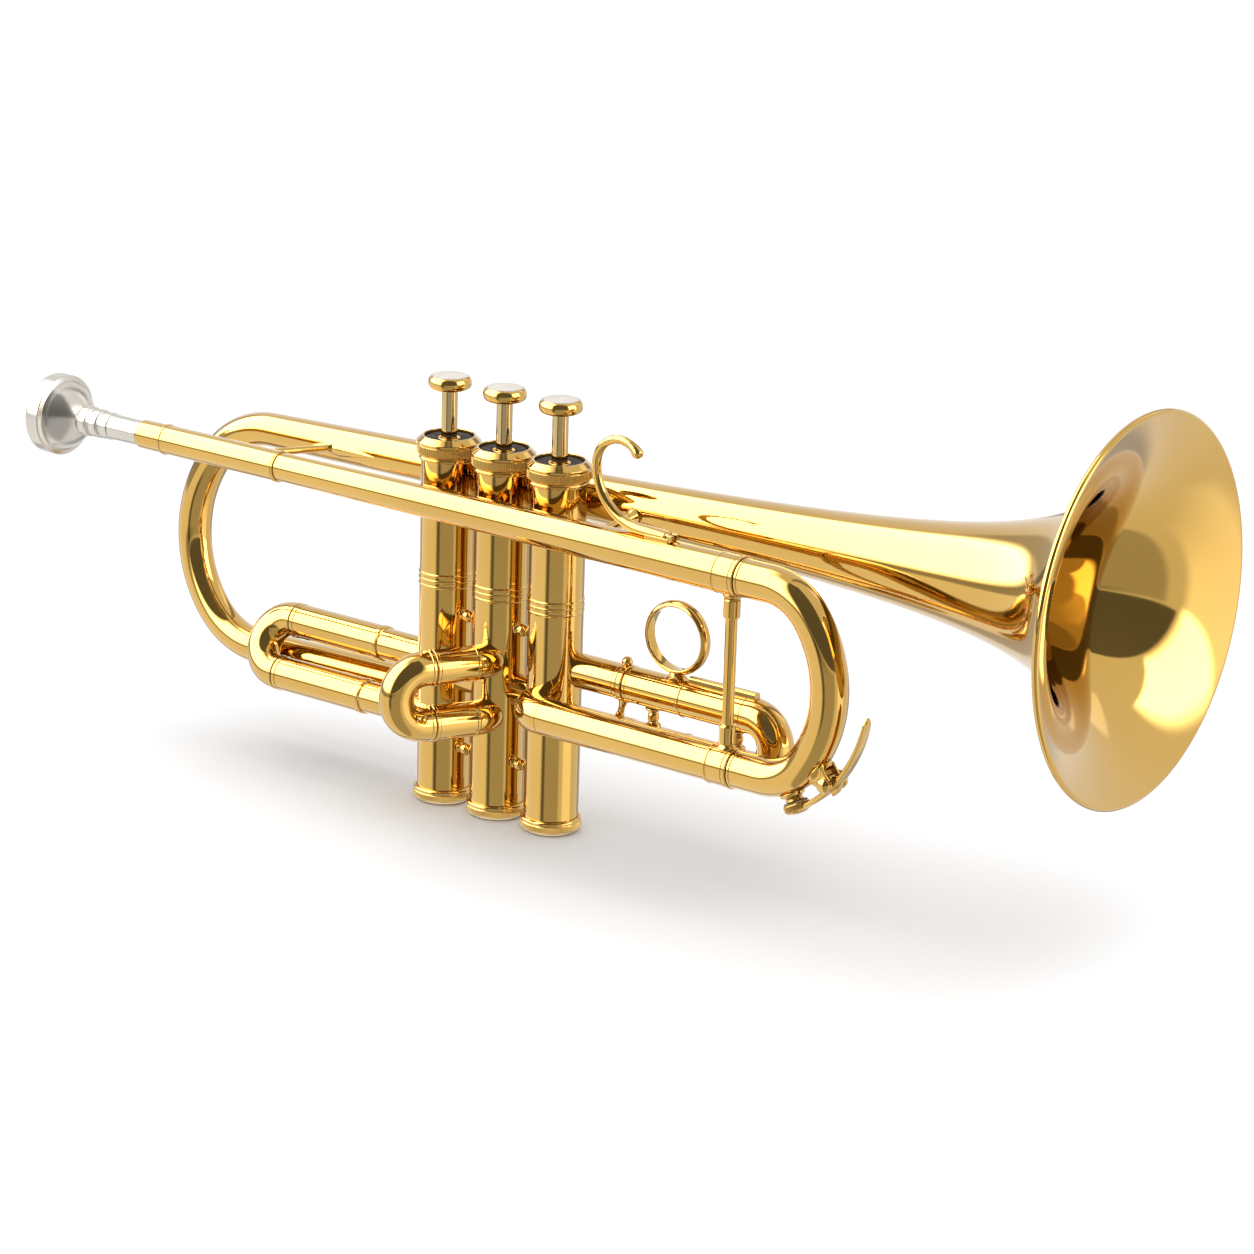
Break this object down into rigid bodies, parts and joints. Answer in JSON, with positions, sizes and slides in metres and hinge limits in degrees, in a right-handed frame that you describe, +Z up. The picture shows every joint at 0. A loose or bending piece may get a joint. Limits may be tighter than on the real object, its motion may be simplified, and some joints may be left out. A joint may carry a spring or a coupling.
{
  "type": "trumpet",
  "caption": "Three-valve piston trumpet in gold lacquer with its mouthpiece, tuning slides, finger ring, finger hook and water key.",
  "frame": {"origin": "centre of the middle valve's bottom cap, on its lower face", "axes": "+X towards the bell's mouth, +Z up along the middle valve's axis, +Y to the player's left"},
  "size_m": [0.4266, 0.1262, 0.1773],
  "materials": {
    "lacquered_brass": "polished, clear gold lacquer",
    "valve_alloy": "lapped",
    "slide_nickel": "polished",
    "silver_plate": "mirror polished",
    "spring_steel": "drawn wire",
    "white_nylon": "moulded",
    "pearl": "polished",
    "felt": "pressed felt",
    "cork": "cut cork"
  },
  "bodies": {
    "root": {"bell": "lacquered_brass", "bell_bow": "lacquered_brass", "bottom_cap_1": "lacquered_brass", "bottom_cap_2": "lacquered_brass", "bottom_cap_3": "lacquered_brass", "cap_felts": "felt", "casing_studs": "lacquered_brass", "crossover_tubes": "lacquered_brass", "finger_hook": "lacquered_brass", "first_slide_tubes": "lacquered_brass", "front_bell_brace": "lacquered_brass", "leadpipe": "lacquered_brass", "lower_slide_tube": "lacquered_brass", "mouthpiece_receiver": "lacquered_brass", "rear_bell_brace": "lacquered_brass", "second_slide_tubes": "lacquered_brass", "slide_brace": "lacquered_brass", "slide_ferrules": "lacquered_brass", "tail_stay": "lacquered_brass", "third_slide_stay": "lacquered_brass", "third_slide_tubes": "slide_nickel", "top_cap_1": "lacquered_brass", "top_cap_2": "lacquered_brass", "top_cap_3": "lacquered_brass", "valve_casing_1": "lacquered_brass", "valve_casing_2": "lacquered_brass", "valve_casing_3": "lacquered_brass", "valve_guides": "white_nylon"},
    "valve_1": {"piston_1": "valve_alloy", "valve_stem_1": "valve_alloy", "finger_button_1": "lacquered_brass", "button_pearl_1": "pearl", "valve_spring_1": "spring_steel"},
    "valve_2": {"piston_2": "valve_alloy", "valve_stem_2": "valve_alloy", "finger_button_2": "lacquered_brass", "button_pearl_2": "pearl", "valve_spring_2": "spring_steel"},
    "valve_3": {"piston_3": "valve_alloy", "valve_stem_3": "valve_alloy", "finger_button_3": "lacquered_brass", "button_pearl_3": "pearl", "valve_spring_3": "spring_steel"},
    "mouthpiece_piece": {"mouthpiece": "silver_plate"},
    "tuning_slide": {"tuning_bow": "lacquered_brass", "tuning_slide_legs": "slide_nickel", "water_key_saddle": "lacquered_brass", "water_key_pin": "spring_steel"},
    "water_key": {"water_key_lever": "lacquered_brass", "water_key_cork": "cork", "water_key_spring": "spring_steel"},
    "first_slide": {"first_slide_legs": "slide_nickel", "first_slide_bow": "lacquered_brass"},
    "second_slide": {"second_slide_bow": "lacquered_brass"},
    "third_slide": {"third_slide_sleeves": "lacquered_brass", "third_slide_bow": "lacquered_brass", "third_slide_posts": "lacquered_brass", "finger_ring": "lacquered_brass", "third_slide_rail": "lacquered_brass"}
  },
  "joints": [
    {"name": "valve_1_press", "type": "slide", "parent": "root", "child": "valve_1", "axis": [0, 0, -1], "range_m": [0, 0.016], "stiffness_N_per_m": 150, "springref_m": -0.02, "deforming": ["valve_spring_1"]},
    {"name": "valve_2_press", "type": "slide", "parent": "root", "child": "valve_2", "axis": [0, 0, -1], "range_m": [0, 0.016], "stiffness_N_per_m": 150, "springref_m": -0.02, "deforming": ["valve_spring_2"]},
    {"name": "valve_3_press", "type": "slide", "parent": "root", "child": "valve_3", "axis": [0, 0, -1], "range_m": [0, 0.016], "stiffness_N_per_m": 150, "springref_m": -0.02, "deforming": ["valve_spring_3"]},
    {"name": "mouthpiece_pull", "type": "slide", "parent": "root", "child": "mouthpiece_piece", "axis": [-1, 0, 0], "range_m": [0, 0.03]},
    {"name": "tuning_pull", "type": "slide", "parent": "root", "child": "tuning_slide", "axis": [1, 0, 0], "range_m": [0, 0.04]},
    {"name": "first_slide_pull", "type": "slide", "parent": "root", "child": "first_slide", "axis": [-1, 0, 0], "range_m": [0, 0.015]},
    {"name": "second_slide_pull", "type": "slide", "parent": "root", "child": "second_slide", "axis": [-0.4617, -0.887, 0], "range_m": [0, 0.01]},
    {"name": "third_slide_pull", "type": "slide", "parent": "root", "child": "third_slide", "axis": [1, 0, 0], "range_m": [0, 0.025]},
    {"name": "water_key_press", "type": "hinge", "parent": "tuning_slide", "child": "water_key", "pos_m": [0.14652, -0.0165, 0.04946], "axis": [0, -1, 0], "range_deg": [0, 9], "stiffness_Nm_per_rad": 0.5, "springref_deg": -11.46}
  ]
}
